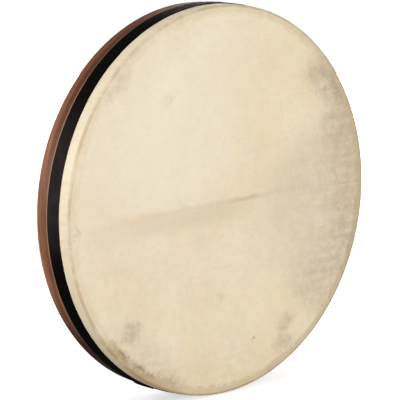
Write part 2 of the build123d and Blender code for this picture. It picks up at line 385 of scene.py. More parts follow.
@dataclass(frozen=True)
class SkinPoint:
    """A point of the skin in mm, and the noises that are read there."""

    x: Value
    y: Value
    z: Value
    away: Value
    flat: Value
    clouds: Value
    patches: Value
    mottle: Value
    fine: Value
    fibre: Value
    speckle: Value
    broken: Value
    # Painted shade towards the lower right, with random patches of wear.
    lighting_and_wear: Value


@dataclass(frozen=True)
class Goatskin:
    """Scraped goatskin: cream, with the spine's streak, hair-root stains, fibres and pores."""

    edge_depth: float = -26.0
    ring_start: float = 214.5
    ring_soft: float = 8.0
    crease_radius: float = 218.5
    roughness: float = 0.62
    gloss: float = 0.35
    swell_depth: float = 0.0016
    fibre_depth: float = 0.00022
    fibre_stretch: Tuple[float, float, float] = (0.08, 1, 1)
    cream: Colour = colour(243, 229, 203)
    warm_cream: Colour = colour(237, 220, 189)
    mottled: Colour = colour(224, 206, 174)
    buttery: Colour = colour(244, 226, 188)
    chalky: Colour = colour(228, 214, 192)
    rubbed: Colour = colour(208, 192, 167)
    spine_dark: Colour = colour(202, 182, 150)
    spine_line: Colour = colour(172, 148, 112)
    fibre_tint: Colour = colour(206, 186, 150)
    grit: Colour = colour(200, 178, 142)
    slope_tint: Colour = colour(204, 184, 148)
    side_tint: Colour = colour(246, 231, 200)
    # The darker streaks in the side's pleats: painted shade.
    pleat_shade_tint: Colour = colour(222, 200, 160)
    glue_tint: Colour = colour(214, 180, 126)
    edge_tint: Colour = colour(154, 126, 88)

    def read(self, s: Shader) -> SkinPoint:
        """Reads a point's place and the noises there, which stop following the depth behind the edge."""
        x, y, z = s.split(s.place())
        flat = s.join(x, y.larger(self.edge_depth * MM), z)
        x, y, z = x * MM_IN_METRE, y * MM_IN_METRE, z * MM_IN_METRE
        clouds, patches = s.noise(flat, 14, 3, 0.55), s.noise(flat, 42, 4, 0.62)
        mottle, fine = s.noise(flat, 130, 4, 0.65), s.noise(flat, 520, 3, 0.6)
        fibre_at = s.stretch(flat, self.fibre_stretch)
        fibre, streak = s.noise(fibre_at, 330, 4, 0.7), s.noise(fibre_at, 110, 3, 0.6)
        speckle = s.noise(flat, 75, 5, 0.78)
        broken = 0.36 + speckle.rise(0.38, 0.60) * 0.52 + streak.rise(0.4, 0.62) * 0.22
        # This mask grows towards the lower right, away from the light, as painted shade, and in random patches
        # of wear.
        lighting_and_wear = (x * 0.7 - z * 0.7).rise(-120, 120) * 0.6 + patches.rise(0.35, 0.62) * 0.4
        away = (x * x + z * z).root()
        return SkinPoint(x, y, z, away, flat, clouds, patches, mottle, fine, fibre, speckle, broken, lighting_and_wear)

    def ground(self, s: Shader, at: SkinPoint) -> Value:
        """The skin's own cream, before any stain."""
        tone = s.mix(at.clouds.rise(0.35, 0.65), self.cream, self.warm_cream)
        tone = s.mix(at.mottle.rise(0.35, 0.7) * 0.32, tone, self.mottled)
        tone = s.mix(at.patches.rise(0.42, 0.66) * 0.45, tone, self.buttery)
        return s.mix(at.patches.rise(0.44, 0.30) * 0.30, tone, self.chalky)

    def mark(self, x: Value, z: Value, mark: Mark) -> Value:
        """How much of a stain shows at a point."""
        turn = math.radians(mark.turn)
        dx, dz = x - mark.x, z - mark.z
        along = (dx * math.cos(turn) + dz * math.sin(turn)) / mark.long
        across = (dz * math.cos(turn) - dx * math.sin(turn)) / mark.short
        away = (along * along + across * across).root()
        return away.rise(1 + mark.soft, 1 - mark.soft) * mark.share

    def stains(self, s: Shader, at: SkinPoint, tone: Value) -> Value:
        """Adds the fan of rubbed skin on the right, and every mark with a ragged outline: the stains, and the
        painted light on the upper left.
        """
        ragged_x = at.x + (at.patches - 0.5) * 34 + (at.fine - 0.5) * 10
        ragged_z = at.z + (at.mottle - 0.5) * 22 + (at.clouds - 0.5) * 16
        fan_angle = (ragged_z + 11).angle(ragged_x + 11)
        fan = fan_angle.rise(0.62, 0.36) * fan_angle.rise(-0.86, -0.6) * ragged_x.rise(10, 150)
        tone = s.mix(fan * (0.18 + at.broken * 0.42), tone, self.rubbed)
        for mark in MARKS:
            shown = self.mark(ragged_x, ragged_z, mark)
            # The painted light is laid smoothly; the stains are broken up.
            tone = s.mix(shown if mark.tint == PAINTED_LIGHT else shown * at.broken, tone, mark.tint)
        return tone

    def spine(self, s: Shader, at: SkinPoint, tone: Value) -> Value:
        """Adds the animal's spine: a soft dark streak, a rosy part on the left and a thin line."""
        x, z = at.x, at.z - (at.x * 0.032 - 1.5) + (at.patches - 0.5) * 9
        from_line = (z - 1).size()
        dark = x.rise(-225, -100) * x.rise(90, -20) * z.rise(-30, -13) * z.rise(6, -6)
        tone = s.mix(dark * 0.30, tone, self.spine_dark)
        rosy = x.rise(-190, -125) * x.rise(-75, -115) * from_line.rise(10, 1)
        tone = s.mix(rosy * 0.36, tone, ROSE)
        line = from_line.rise(5.0, 0.5) * (0.35 + x.rise(-10, 35) * 0.65) * x.rise(-150, -60)
        line = line * (x.rise(62, 46) * 0.55 + x.rise(180, 60) * 0.28)
        return s.mix(line * 0.4, tone, self.spine_line)

    def rim(self, s: Shader, at: SkinPoint, tone: Value) -> Value:
        """Adds the ring that shows over the tuning ring, the crease and the slope towards the edge, each
        stronger towards the lower right as painted shade and in random worn patches.
        """
        # Each mark here grows stronger towards the lower right through that mask: painted shade.
        over_ring = (at.away + (at.patches - 0.5) * 8).rise(self.ring_start, self.ring_start + self.ring_soft)
        tone = s.mix(over_ring * (0.06 + 0.36 * at.lighting_and_wear), tone, TAN)
        crease = (at.away - self.crease_radius + (at.clouds - 0.5) * 6).size().rise(3.4, 0.2)
        crease = crease * at.speckle.rise(0.40, 0.62)
        tone = s.mix(crease * (0.02 + 0.15 * at.lighting_and_wear), tone, BROWN)
        slope = at.away.rise(219.0, 222.5) * at.y.rise(-26.0, -28.0)
        slope = slope * (0.12 + at.speckle.rise(0.35, 0.6) * 0.18 + at.lighting_and_wear * 0.12)
        return s.mix(slope, tone, self.slope_tint)

    def side(self, s: Shader, at: SkinPoint, tone: Value) -> Value:
        """Colours the side, with painted shade in its pleats and the glue that has come through at the lower
        left, and darkens the edge, more towards the lower right as painted shade.
        """
        side = at.y.rise(-27.4, -25.5)
        tone = s.mix(side * 0.8, tone, self.side_tint)
        # Darker streaks along the pleats: painted shade in the folds.
        pleats = s.noise(s.join(at.x / at.away, at.y * 0.0012, at.z / at.away), 26, 4, 0.7)
        tone = s.mix(side * pleats.rise(0.48, 0.72) * 0.45, tone, self.pleat_shade_tint)
        glue = (at.z + at.x * 0.35).rise(-150, -250) * side * at.speckle.rise(0.35, 0.6)
        tone = s.mix(glue * 0.35, tone, self.glue_tint)
        # The skin's darker edge, made stronger towards the lower right as painted shade.
        edge = (at.away + at.y * 0.35).rise(215.2, 217.4) * at.y.rise(-25.2, -27.2)
        edge_share = (0.30 + 0.42 * at.lighting_and_wear) * (0.7 + at.patches.rise(0.35, 0.6) * 0.3)
        return s.mix(edge * edge_share, tone, self.edge_tint)

    def make(self) -> bpy.types.Material:
        """Builds the material."""
        s = Shader("goatskin")
        at = self.read(s)
        tone = self.spine(s, at, self.stains(s, at, self.ground(s, at)))
        tone = s.mix((at.fibre - 0.5).size().rise(0.05, 0.3) * 0.17, tone, self.fibre_tint)
        tone = s.mix(at.fine.rise(0.55, 0.8) * 0.22, tone, self.grit)
        tone = self.side(s, at, self.rim(s, at, tone))
        pores = s.cells(at.flat, 800).rise(0.16, 0.05) * at.mottle.rise(0.4, 0.6)
        tone = s.mix(pores * 0.30, tone, BROWN)
        relief = s.bump(at.clouds * 0.7 + at.patches * 0.3, self.swell_depth)
        relief = s.bump(at.fibre * 0.6 + at.fine * 0.4, self.fibre_depth, relief)
        return s.finish(
            base_color=tone,
            roughness=self.roughness - (at.patches - 0.5) * 0.25,
            specular_ior_level=self.gloss,
            normal=relief,
        )


@dataclass(frozen=True)
class WovenTape:
    """Matte black cloth tape with a plain weave, a little dust, and a painted sheen on its left, where the
    light catches it.
    """

    threads_round: int = 1400
    thread_width: float = 0.62
    roughness: float = 0.5
    gloss: float = 0.015
    dust_depth: float = 0.0006
    weave_depth: float = 0.00025
    black: Colour = colour(2, 1, 1)
    faded: Colour = colour(5, 3, 3)
    lint_tint: Colour = colour(28, 23, 20)
    # The colour of the painted sheen on the tape's left.
    painted_sheen_tint: Colour = colour(62, 57, 54)

    def make(self) -> bpy.types.Material:
        """Builds the material."""
        s = Shader("black_tape")
        at = s.place()
        x, y, z = s.split(at)
        round_way = (z.angle(x) * self.threads_round).sine()
        across_way = (y * (2 * math.pi / (self.thread_width * MM))).sine()
        weave = round_way * across_way * 0.5 + 0.5
        dust = s.noise(at, 60, 4, 0.65)
        lint = s.noise(at, 900, 2, 0.6)
        tone = s.mix(dust.rise(0.4, 0.75), self.black, self.faded)
        tone = s.mix(weave * lint.rise(0.35, 0.7) * 0.4, tone, self.lint_tint)
        x, z = x * MM_IN_METRE, z * MM_IN_METRE
        # Painted sheen: the tape is lightened on its left, where the light catches it, broken up by the dust
        # noise.
        painted_sheen = x.rise(-165, -224) * z.rise(-60, 20) * z.rise(170, 60)
        tone = s.mix(painted_sheen * (0.35 + dust.rise(0.3, 0.7) * 0.3), tone, self.painted_sheen_tint)
        relief = s.bump(dust, self.dust_depth)
        relief = s.bump(weave * 0.7 + lint * 0.3, self.weave_depth, relief)
        roughness = self.roughness + dust * 0.2
        return s.finish(base_color=tone, roughness=roughness, specular_ior_level=self.gloss, normal=relief)


@dataclass(frozen=True)
class Wood:
    """Wood whose grain follows the piece, stained or bare."""

    name: str
    light: Colour
    dark: Colour
    pore: Colour
    grain: Grain
    roughness: float = 0.46
    gloss: float = 0.25
    plies: float = 0.0
    flecks: bool = False
    # The paler strip beside the tape on a hoop's left: painted highlight, with rubbed wood.
    rubbed: Colour = colour(200, 160, 128)
    figure_depth: float = 0.0004
    pore_depth: float = 0.00016

    def grain_place(self, s: Shader) -> Tuple[Value, Value]:
        """Coordinates that are slow along the grain and quick across it.

        Args:
            s: The shader that is being built.

        Returns:
            The grain's coordinates, and how far each point is from the drum's axis in mm.
        """
        at = s.place()
        x, y, z = s.split(at)
        away = (x * x + z * z).root()
        if self.grain is Grain.ROUND_THE_HOOP:
            grain = s.join(x / away * 0.16, y * 10 + away * 0.35, z / away * 0.16 + away * 10)
        elif self.grain is Grain.ALONG_THE_BAR:
            grain = s.join(x * 9, y * 9, z * 0.7)
        else:
            grain = s.join(x * 0.7, y * 9, z * 9)
        return grain, away * MM_IN_METRE

    def hoop_painted_light(self, s: Shader, tone: Value, bands: Value) -> Value:
        """Paints shade on a hoop at its lower left and top, away from the light, and lightens a strip beside
        the tape on its left, partly painted highlight and partly rubbed wood.

        Args:
            s: The shader that is being built.
            tone: The wood's colour so far.
            bands: The noise of the grain's bands.

        Returns:
            The wood's colour with its painted shade, painted highlight and rubbed strip.
        """
        x, y, z = (part * MM_IN_METRE for part in s.split(s.place()))
        # Painted shade: the hoop's left half is darkened at the lower left and at the top, away from the light.
        shade = (z - x * 0.55).rise(60, -80) * 0.92 + (z - x * 0.2).rise(100, 220) * 0.5
        tone = s.mix(shade * x.rise(60, -60), tone, self.pore)
        # A paler strip beside the tape on the left: painted highlight, with rubbed wood.
        lighting_and_wear = y.rise(8.0, 9.0) * y.rise(13.0, 9.5) * (0.50 + bands.rise(0.3, 0.6) * 0.4)
        return s.mix(lighting_and_wear * x.rise(-60, -190), tone, self.rubbed)

    def ply_lines(self, s: Shader, tone: Value, away: Value) -> Value:
        """Adds the glue lines between the bent layers, on the back edge."""
        line = ((away / self.plies).fraction() - 0.5).size().rise(0.40, 0.48)
        y = s.split(s.place())[1] * MM_IN_METRE
        return s.mix(line * y.rise(27.6, 28.6) * 0.6, tone, self.pore)

    def make(self) -> bpy.types.Material:
        """Builds the material."""
        s = Shader(self.name)
        at, away = self.grain_place(s)
        broad = s.noise(at, 7, 3, 0.55, 0.6)
        bands = s.noise(at, 26, 4, 0.6, 0.4)
        pores = s.noise(at, 120, 3, 0.6)
        blotch = s.noise(s.place(), 9, 3, 0.6)
        tone = s.mix(broad.rise(0.32, 0.68), self.light, self.dark)
        tone = s.mix(bands.rise(0.45, 0.72) * 0.6, tone, self.dark)
        lines = s.noise(at, 320, 2, 0.6)
        tone = s.mix(lines.rise(0.52, 0.72) * 0.35, tone, self.pore)
        tone = s.mix(lines.rise(0.46, 0.30) * 0.25, tone, self.light)
        tone = s.mix(pores.rise(0.58, 0.75) * 0.65, tone, self.pore)
        tone = s.mix(blotch.rise(0.45, 0.75) * 0.35, tone, self.dark)
        if self.grain is Grain.ROUND_THE_HOOP:
            # Painted shade and highlight, with the rubbed strip, on round-grained pieces.
            tone = self.hoop_painted_light(s, tone, bands)
        if self.plies:
            tone = self.ply_lines(s, tone, away)
        if self.flecks:
            tone = s.mix(s.cells(at, 60).rise(0.20, 0.08) * 0.7, tone, self.pore)
        relief = s.bump(bands * 0.5 + broad * 0.5, self.figure_depth)
        relief = s.bump(pores, self.pore_depth, relief)
        return s.finish(
            base_color=tone,
            roughness=self.roughness + (bands - 0.5) * 0.25,
            specular_ior_level=self.gloss,
            normal=relief,
        )


@dataclass(frozen=True)
class Plating:
    """Plated or blackened steel with handling marks."""

    name: str
    bright: Colour
    dull: Colour
    metal: float
    roughness: float
    grit_depth: float = 0.00005

    def make(self) -> bpy.types.Material:
        """Builds the material."""
        s = Shader(self.name)
        at = s.place()
        cloud = s.noise(at, 140, 4, 0.65)
        grit = s.noise(at, 1500, 2, 0.6)
        tone = s.mix(cloud.rise(0.35, 0.7), self.bright, self.dull)
        return s.finish(
            base_color=tone,
            metallic=self.metal,
            roughness=self.roughness + (cloud - 0.5) * 0.3,
            normal=s.bump(grit, self.grit_depth),
        )


# ---------------------------------------------------------------- modelling


def select_only(*pieces: bpy.types.Object) -> None:
    """Selects these pieces and nothing else, the first one active."""
    bpy.ops.object.select_all(action="DESELECT")
    for piece in pieces:
        piece.select_set(True)
    bpy.context.view_layer.objects.active = pieces[0]


def arc(middle: Point, radius: float, start: float, end: float, steps: int = 6) -> List[Point]:
    """Points along an arc.

    Args:
        middle: The arc's centre, as radius and depth in mm.
        radius: The arc's radius in mm.
        start: Its first angle in degrees, with 90 towards the open back.
        end: Its last angle in degrees.
        steps: How many straight runs it has.

    Returns:
        The points, both ends included.
    """
    turns = [math.radians(start + (end - start) * i / steps) for i in range(steps + 1)]
    return [(middle[0] + radius * math.cos(t), middle[1] + radius * math.sin(t)) for t in turns]


def turned(name: str, outline: Sequence[Point], start: float = 0.0, sweep: float = 360.0) -> bpy.types.Object:
    """Draws an outline and spins it about the drum's axis.

    Args:
        name: The piece's name.
        outline: Points as radius and depth in mm. A closed outline ends where it starts.
        start: The angle at which the spin starts, in degrees.
        sweep: How far it goes, in degrees.

    Returns:
        The spun piece, its wall closed and its normals outward.
    """
    bpy.ops.object.select_all(action="DESELECT")
    first = outline[0]
    bpy.ops.mesh.primitive_plane_add(size=MM, location=(first[0] * MM, first[1] * MM, 0))
    piece = bpy.context.object
    piece.name = piece.data.name = name
    bpy.ops.object.transform_apply(location=True, rotation=False, scale=False)
    bpy.ops.object.mode_set(mode="EDIT")
    bpy.ops.mesh.select_all(action="SELECT")
    bpy.ops.mesh.merge(type="CENTER")
    for here, there in zip(outline, outline[1:]):
        step = ((there[0] - here[0]) * MM, (there[1] - here[1]) * MM, 0)
        bpy.ops.mesh.extrude_region_move(TRANSFORM_OT_translate={"value": step})
    bpy.ops.mesh.select_all(action="SELECT")
    bpy.ops.mesh.remove_doubles(threshold=MERGE_GAP)
    steps = max(4, round(TURN_STEPS * sweep / 360))
    bpy.ops.mesh.spin(steps=steps, angle=-math.radians(sweep), center=(0, 0, 0), axis=(0, 1, 0))
    bpy.ops.mesh.select_all(action="SELECT")
    bpy.ops.mesh.remove_doubles(threshold=MERGE_GAP)
    if sweep < 360:
        bpy.ops.mesh.fill_holes(sides=0)
    bpy.ops.mesh.normals_make_consistent(inside=False)
    bpy.ops.object.mode_set(mode="OBJECT")
    if start:
        turn_to(piece, start)
    select_only(piece)
    bpy.ops.object.shade_smooth_by_angle(angle=SMOOTH_ANGLE)
    return piece


def turn_to(piece: bpy.types.Object, degrees: float) -> None:
    """Turns a piece made at +X about the drum's axis, round to an angle, and applies the turn."""
    select_only(piece)
    piece.rotation_euler = (0, -math.radians(degrees), 0)
    bpy.ops.object.transform_apply(location=False, rotation=True, scale=False)


def copy_to(piece: bpy.types.Object, name: str, degrees: float) -> bpy.types.Object:
    """A copy of a piece with its own mesh, turned about the drum's axis."""
    twin = piece.copy()
    twin.data = piece.data.copy()
    twin.name = twin.data.name = name
    bpy.context.scene.collection.objects.link(twin)
    turn_to(twin, degrees)
    return twin


def wear(piece: bpy.types.Object, material: bpy.types.Material) -> None:
    """Gives a piece its material."""
    piece.data.materials.clear()
    piece.data.materials.append(material)


def report(piece: bpy.types.Object) -> None:
    """Logs one finished piece."""
    LOG.info("%s: %d points, %d faces", piece.name, len(piece.data.vertices), len(piece.data.polygons))


# ---------------------------------------------------------------- sub-assemblies


@dataclass
class Head:
    """The goatskin, flat over the tuning ring, sloping to the hoop's edge, round it and down the side."""

    thickness: float = 0.5
    front: float = -29.5
    crest_end: float = 219.75
    rim: float = 228.6
    edge_round: float = 2.0
    hoop_front: float = -28.0
    skirt_end: float = 4.5
    ripple: float = 0.16
    swell: float = 0.10
    cut_radius: float = 261.1
    face_rings: Tuple[float, ...] = (
        0, 8, 20, 35, 50, 65, 80, 95, 110, 125, 140, 155, 170, 185, 198, 207, 213, 217,
    )
    side_rings: Tuple[float, ...] = (-24, -21, -18, -15, -12, -8, -4, 0)
    inner_rings: Tuple[float, ...] = (213, 198, 155, 95, 50, 0)

    def outline(self) -> List[Point]:
        """The skin's section from its middle to its cut edge and back along the inside."""
        turn = (self.rim - self.edge_round, self.hoop_front + self.edge_round)
        outer, back = self.rim + self.thickness, self.front + self.thickness
        face = [(r, self.front) for r in self.face_rings]
        face += [(self.crest_end - 1.0, self.front), (self.crest_end, self.front + 0.03)]
        face += [(self.crest_end + 1.2, self.front + 0.18)]
        over = arc(turn, self.edge_round + self.thickness, -90, 0)
        side = [(outer, y) for y in self.side_rings] + [(outer, self.skirt_end)]
        under = [(self.rim, self.skirt_end), (self.rim, 0), (self.rim, -8), (self.rim, -18)]
        inner = arc(turn, self.edge_round, 0, -90)
        rest = [(self.crest_end, back)] + [(r, back) for r in self.inner_rings]
        return face + over + side + under + inner + rest

    def settle(self, piece: bpy.types.Object) -> None:
        """Gives the face a slow swell of 0.1 mm and the side its pleats, a few tenths of a millimetre deep."""
        for point in piece.data.vertices:
            x, y, z = (part / MM for part in point.co)
            away, round_way = math.hypot(x, z), math.atan2(z, x)
            if away < self.crest_end - 2:
                calm = 1 - (away / self.crest_end) ** 6
                swell = math.sin(x / 31 + 1.3) * math.sin(z / 27 + 0.4) + 0.6 * math.sin((x + z) / 17)
                point.co.y += self.swell * calm * swell * MM / 1.6
            elif away > self.rim + self.thickness / 2 and y > self.hoop_front:
                grow = min(1.0, max(0.0, (y + 27) / 16))
                pleat = math.sin(41 * round_way + 0.7 * math.sin(5 * round_way))
                pleat += 0.6 * math.sin(97 * round_way + 1.0)
                push = 1 + self.ripple * grow * (0.5 + 0.31 * pleat) / away
                point.co.x *= push
                point.co.z *= push

    def build(self) -> bpy.types.Object:
        """Makes the head."""
        piece = turned("goatskin_head", self.outline())
        self.settle(piece)
        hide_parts("drum_skin")
        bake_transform(piece)
        return piece

    def dress(self, piece: bpy.types.Object) -> None:
        """Finishes the head."""
        wear(piece, Goatskin().make())
        report(piece)


@dataclass
class Hoop:
    """The bent wooden hoop."""

    outer: float = 228.6
    inner: float = 221.0
    front: float = -28.0
    back: float = 29.5
    front_round: float = 2.0
    back_round: float = 1.5

    def build(self) -> bpy.types.Object:
        """Makes the hoop."""
        ends = self.back - self.back_round
        outline = [(self.inner, self.front), (self.inner, -10), (self.inner, 10)]
        outline += arc((self.inner + self.back_round, ends), self.back_round, 180, 90)
        outline += arc((self.outer - self.back_round, ends), self.back_round, 90, 0)
        outline += [(self.outer, 20), (self.outer, 10), (self.outer, -10)]
        outline += arc((self.outer - self.front_round, self.front + self.front_round), self.front_round, 0, -90)
        outline += [(self.inner, self.front)]
        piece = turned("bent_hoop", outline)
        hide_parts("shell")
        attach(piece, "drum")
        return piece

    def dress(self, piece: bpy.types.Object) -> None:
        """Finishes the hoop."""
        stain = Wood(
            Slot.HOOP.value, colour(180, 120, 84), colour(112, 68, 46), colour(40, 20, 13),
            Grain.ROUND_THE_HOOP, roughness=0.55, gloss=0.08, plies=(self.outer - self.inner) / PLY_COUNT,
        )
        wear(piece, stain.make())
        report(piece)


@dataclass
class Tape:
    """The black tape over the skin's cut edge, its two ends lapped."""

    skin: float = 229.1
    wood: float = 228.6
    outer: float = 230.1
    front: float = -12.0
    back: float = 8.5
    step: float = 4.5
    edge_round: float = 0.3
    lap_angle: float = 248.0
    lap_length: float = 14.0
    lap_thickness: float = 0.95
    wander: float = 0.22
    waves: Tuple[Tuple[int, float, float], ...] = ((3, 1.0, 0.5), (11, 0.5, 0.0), (37, 0.25, 2.0))

    def outline(self, inner: float, outer: float) -> List[Point]:
        """The tape's section between two radii, with both outer corners softened."""
        soft = self.edge_round
        points = [(inner, self.front)]
        points += arc((outer - soft, self.front + soft), soft, -90, 0, 3)
        points += [(outer, y) for y in (-6, -3, 0, 3, 6)]
        points += arc((outer - soft, self.back - soft), soft, 0, 90, 3)
        return points

    def settle(self, piece: bpy.types.Object) -> None:
        """Lets both edges wander as hand-laid tape does, and keeps the step at the skin's cut edge."""
        highest = sum(height for _, height, _ in self.waves)
        for point in piece.data.vertices:
            x, y, z = (part / MM for part in point.co)
            turn = math.atan2(z, x)
            if abs(y - self.step) < 0.01 and math.hypot(x, z) < self.outer - self.edge_round:
                continue
            drift = sum(height * math.sin(count * turn + start) for count, height, start in self.waves)
            point.co.y += self.wander * MM * drift / highest

    def build(self) -> List[bpy.types.Object]:
        """Makes the tape and its lap."""
        outline = self.outline(self.skin, self.outer)
        outline += [(self.wood, self.back), (self.wood, self.step)]
        outline += [(self.skin, self.step), (self.skin, self.front)]
        tape = turned("black_tape", outline)
        middle = (self.skin + self.outer) / 2
        lap_outline = self.outline(middle, self.outer + self.lap_thickness)
        lap_outline += [(middle, self.back), (middle, self.front)]
        lap_turn = math.degrees(self.lap_length / self.outer)
        lap = turned("tape_lap", lap_outline, self.lap_angle - lap_turn / 2, lap_turn)
        for piece in (tape, lap):
            self.settle(piece)
            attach(piece, "drum")
        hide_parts("trim_band")
        return [tape, lap]

    def dress(self, pieces: List[bpy.types.Object]) -> None:
        """Finishes the tape."""
        cloth = WovenTape().make()
        for piece in pieces:
            wear(piece, cloth)
            report(piece)


@dataclass
class TuningRing:
    """The bent beech ring that bears on the skin, with a seat in its back for each steel cup."""

    outer: float = 220.5
    inner: float = 206.3
    crest: float = -29.0
    back: float = -13.0
    crest_outer_round: float = 1.5
    crest_inner_round: float = 6.0
    back_round: float = 1.0
    seat_circle: float = 212.8
    seat_radius: float = 5.0
    seat_depth: float = 1.5

    def outline(self) -> List[Point]:
        """The ring's section, its crest eased so that it doesn't cut the skin."""
        wide, tight, soft = self.crest_inner_round, self.crest_outer_round, self.back_round
        points = arc((self.inner + wide, self.crest + wide), wide, 180, 270, 10)
        points += arc((self.outer - tight, self.crest + tight), tight, 270, 360)
        points += arc((self.outer - soft, self.back - soft), soft, 0, 90)
        points += arc((self.inner + soft, self.back - soft), soft, 90, 180)
        return points + points[:1]

    def cutter(self) -> bpy.types.Object:
        """The round pegs that cut the eight seats."""
        pegs = []
        for number in range(BOLT_COUNT):
            bpy.ops.object.select_all(action="DESELECT")
            middle = (self.seat_circle * MM, self.back * MM, 0)
            bpy.ops.mesh.primitive_cylinder_add(
                vertices=64, radius=self.seat_radius * MM, depth=2 * self.seat_depth * MM, location=middle,
                rotation=(math.pi / 2, 0, 0),
            )
            peg = bpy.context.object
            bpy.ops.object.transform_apply(location=True, rotation=True, scale=True)
            turn_to(peg, FIRST_BOLT_ANGLE + number * 360 / BOLT_COUNT)
            pegs.append(peg)
        select_only(*pegs)
        bpy.ops.object.join()
        return pegs[0]

    def build(self) -> bpy.types.Object:
        """Makes the ring and cuts its seats."""
        piece = turned("beech_ring", self.outline())
        pegs = self.cutter()
        cut = piece.modifiers.new("seats", "BOOLEAN")
        cut.operation, cut.object, cut.solver = "DIFFERENCE", pegs, "EXACT"
        select_only(piece)
        bpy.ops.object.modifier_apply(modifier=cut.name)
        bpy.data.objects.remove(pegs)
        bpy.ops.object.shade_smooth_by_angle(angle=SMOOTH_ANGLE)
        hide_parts("tuning_ring")
        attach(piece, "ring")
        return piece

    def dress(self, piece: bpy.types.Object) -> None:
        """Finishes the ring."""
        bare = Wood(
            Slot.RING.value, colour(214, 178, 132), colour(190, 150, 104), colour(140, 98, 62),
            Grain.ROUND_THE_HOOP, roughness=0.55, flecks=True,
        )
        wear(piece, bare.make())
        report(piece)


@dataclass
class Bolts:
    """The eight socket-head bolts, with knurled heads and rolled threads."""

    circle: float = 212.8
    tip: float = -13.2
    head_face: float = 6.8
    head_height: float = 6.0
    head_radius: float = 5.0
    head_soft: float = 0.5
    shank_radius: float = 2.98
    thread_depth: float = 0.55
    pitch: float = 1.0
    thread_steps: int = 28
    key_flats: float = 5.0
    key_depth: float = 3.0
    knurls: int = 72
    knurl_depth: float = 0.12
    knurl_edge: float = 0.09

    def head(self) -> bpy.types.Object:
        """The knurled head with its hexagon socket."""
        bpy.ops.object.select_all(action="DESELECT")
        middle = (0, (self.head_face + self.head_height / 2) * MM, 0)
        bpy.ops.mesh.primitive_cylinder_add(
            vertices=self.knurls, radius=self.head_radius * MM, depth=self.head_height * MM, location=middle,
            rotation=(-math.pi / 2, 0, 0),
        )
        head = bpy.context.object
        bpy.ops.object.transform_apply(location=True, rotation=True, scale=True)
        back = (self.head_face + self.head_height) * MM
        for edge in head.data.edges:
            edge.select = all(abs(head.data.vertices[i].co.y - back) < MERGE_GAP for i in edge.vertices)
        for face in head.data.polygons:
            face.select = False
        bpy.ops.object.mode_set(mode="EDIT")
        bpy.ops.mesh.select_mode(type="EDGE")
        bpy.ops.mesh.bevel(offset=self.head_soft * MM, segments=2, affect="EDGES")
        bpy.ops.mesh.select_mode(type="FACE")
        bpy.ops.mesh.select_all(action="DESELECT")
        bpy.ops.object.mode_set(mode="OBJECT")
        for face in head.data.polygons:
            face.select = abs(face.normal.y) < 0.1 and face.area > 1e-7
        bpy.ops.object.mode_set(mode="EDIT")
        bpy.ops.mesh.inset(thickness=self.knurl_edge * MM, depth=-self.knurl_depth * MM, use_individual=True)
        bpy.ops.object.mode_set(mode="OBJECT")
        bpy.ops.object.select_all(action="DESELECT")
        bpy.ops.mesh.primitive_cylinder_add(
            vertices=6, radius=self.key_flats / math.sqrt(3) * MM, depth=2 * self.key_depth * MM,
            location=(0, back, 0), rotation=(-math.pi / 2, 0, 0),
        )
        key = bpy.context.object
        bpy.ops.object.transform_apply(location=True, rotation=True, scale=True)
        socket = head.modifiers.new("socket", "BOOLEAN")
        socket.operation, socket.object, socket.solver = "DIFFERENCE", key, "EXACT"
        select_only(head)
        bpy.ops.object.modifier_apply(modifier=socket.name)
        bpy.data.objects.remove(key)
        return head

    def thread(self) -> bpy.types.Object:
        """The threaded shank, one groove turned along it and both ends cut square."""
        bpy.ops.object.select_all(action="DESELECT")
        start = self.tip - self.pitch * 1.5
        bpy.ops.mesh.primitive_plane_add(size=0.1 * MM, location=(self.shank_radius * MM, start * MM, 0))
        shank = bpy.context.object
        bpy.ops.object.transform_apply(location=True, rotation=False, scale=False)
        bpy.ops.object.mode_set(mode="EDIT")
        bpy.ops.mesh.select_all(action="SELECT")
        bpy.ops.mesh.merge(type="CENTER")
        rise, deep = self.pitch / 8, self.thread_depth
        for step in ((0, rise), (-deep, 3 * rise), (0, rise), (deep, 3 * rise)):
            bpy.ops.mesh.extrude_region_move(TRANSFORM_OT_translate={"value": (step[0] * MM, step[1] * MM, 0)})
        bpy.ops.object.mode_set(mode="OBJECT")
        screw = shank.modifiers.new("thread", "SCREW")
        screw.axis, screw.screw_offset = "Y", self.pitch * MM
        screw.iterations = math.ceil((self.head_face - start) / self.pitch) + 2
        screw.steps = screw.render_steps = self.thread_steps
        screw.use_merge_vertices = False
        bpy.ops.object.modifier_apply(modifier=screw.name)
        bpy.ops.object.mode_set(mode="EDIT")
        bpy.ops.mesh.select_all(action="SELECT")
        bpy.ops.mesh.remove_doubles(threshold=MERGE_GAP)
        for depth, side in ((self.tip, -1), (self.head_face + 0.1, 1)):
            bpy.ops.mesh.select_all(action="SELECT")
            cut_at, facing = (0, depth * MM, 0), (0, side, 0)
            bpy.ops.mesh.bisect(plane_co=cut_at, plane_no=facing, use_fill=True, clear_outer=True)
        bpy.ops.mesh.select_all(action="SELECT")
        bpy.ops.mesh.normals_make_consistent(inside=False)
        bpy.ops.object.mode_set(mode="OBJECT")
        return shank

    def build(self) -> List[bpy.types.Object]:
        """Makes one bolt and copies it to the eight places."""
        head, shank = self.head(), self.thread()
        select_only(head, shank)
        bpy.ops.object.join()
        bpy.ops.object.mode_set(mode="EDIT")
        bpy.ops.mesh.select_all(action="SELECT")
        bpy.ops.transform.translate(value=(self.circle * MM, 0, 0))
        bpy.ops.object.mode_set(mode="OBJECT")
        bpy.ops.object.shade_smooth_by_angle(angle=SMOOTH_ANGLE)
        bolts = []
        for number in range(BOLT_COUNT):
            bolt = copy_to(head, f"socket_bolt_{number + 1}", FIRST_BOLT_ANGLE + number * 360 / BOLT_COUNT)
            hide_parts(f"tuning_bolt_{number + 1}")
            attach(bolt, f"bolt_{number + 1}")
            bolts.append(bolt)
        bpy.data.objects.remove(head)
        return bolts

